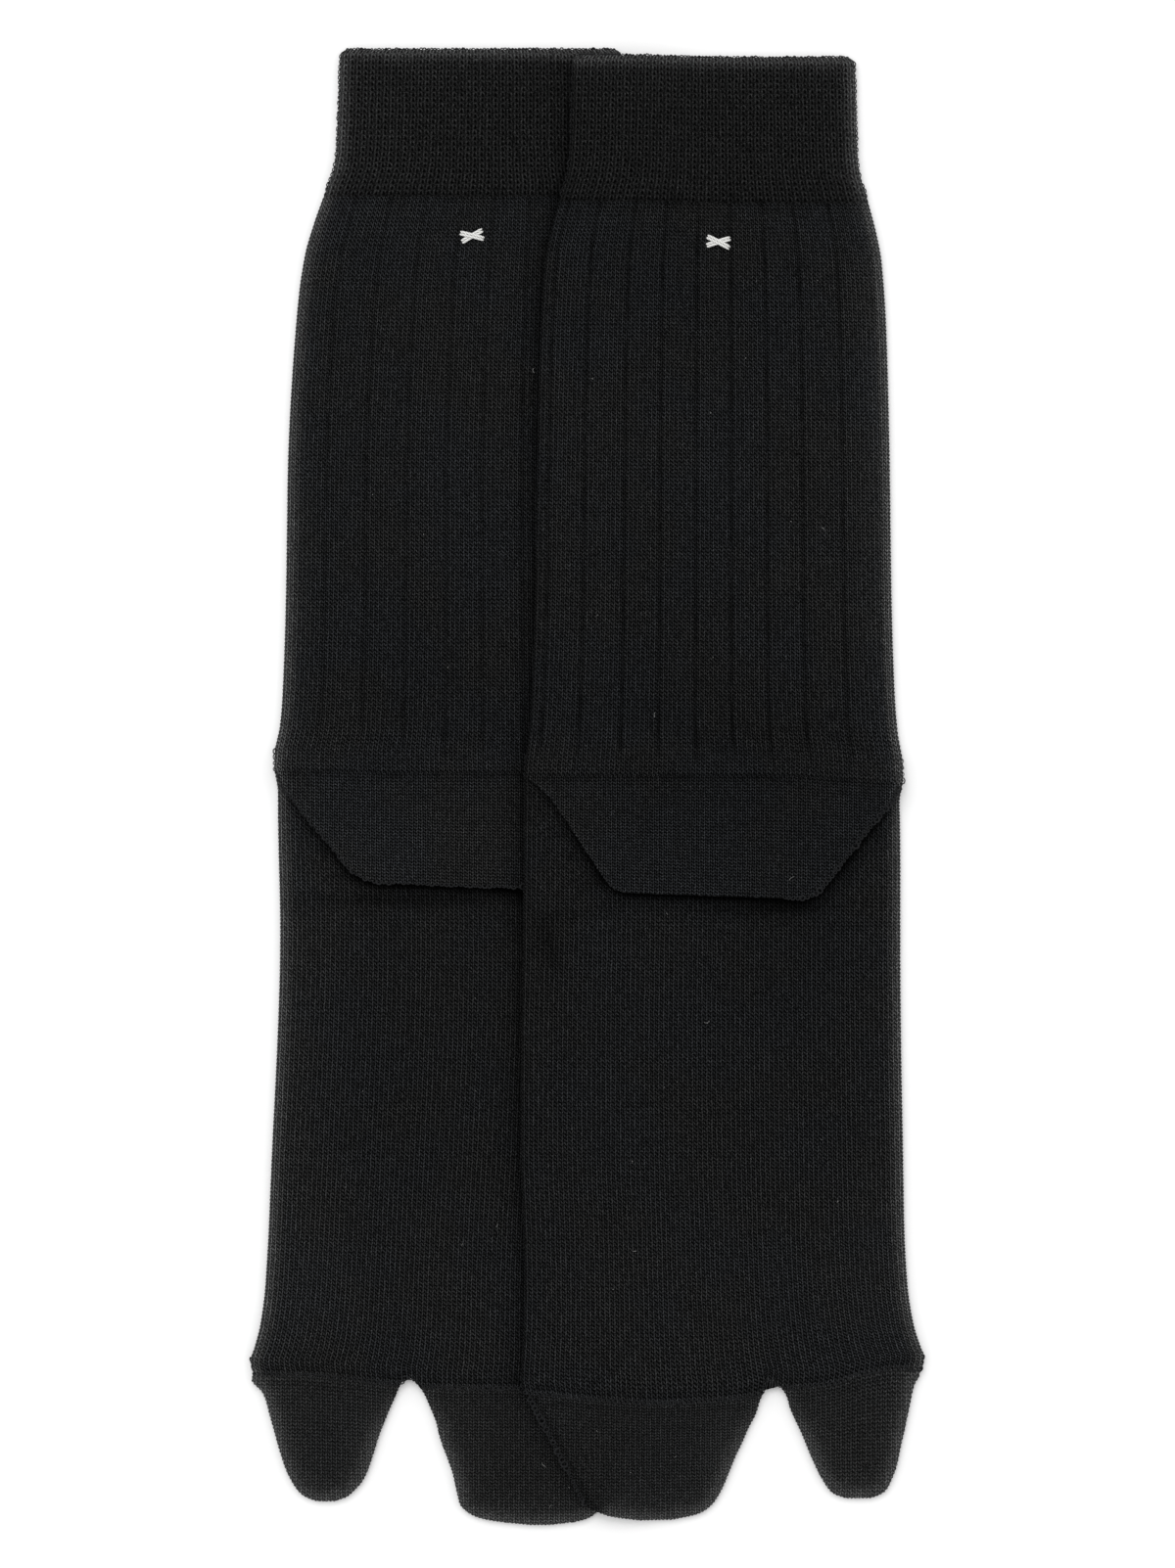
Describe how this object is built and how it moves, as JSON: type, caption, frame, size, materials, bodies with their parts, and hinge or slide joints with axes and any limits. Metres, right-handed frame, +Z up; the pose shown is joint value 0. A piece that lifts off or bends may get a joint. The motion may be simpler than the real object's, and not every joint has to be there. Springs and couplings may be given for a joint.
{
  "type": "pair of tabi socks",
  "caption": "Pair of black ribbed knit tabi socks with split toes, laid flat sole side up, one lapped over the other.",
  "frame": {"origin": "centre of the pair's underside, on the surface it lies on", "axes": "+Z up from the surface, +Y along the socks from toes to cuffs, +X from the lower sock to the upper one"},
  "size_m": [0.1672, 0.366, 0.0123],
  "materials": {
    "knit": "matt black fine-gauge cotton knit",
    "thread": "off-white cotton sewing thread"
  },
  "bodies": {
    "root": {"under_cuff": "knit", "under_leg": "knit", "under_heel": "knit", "under_foot": "knit", "under_big_toe": "knit", "under_toes": "knit", "over_cuff": "knit", "over_leg": "knit", "over_heel": "knit", "over_foot": "knit", "over_big_toe": "knit", "over_toes": "knit"}
  },
  "joints": []
}
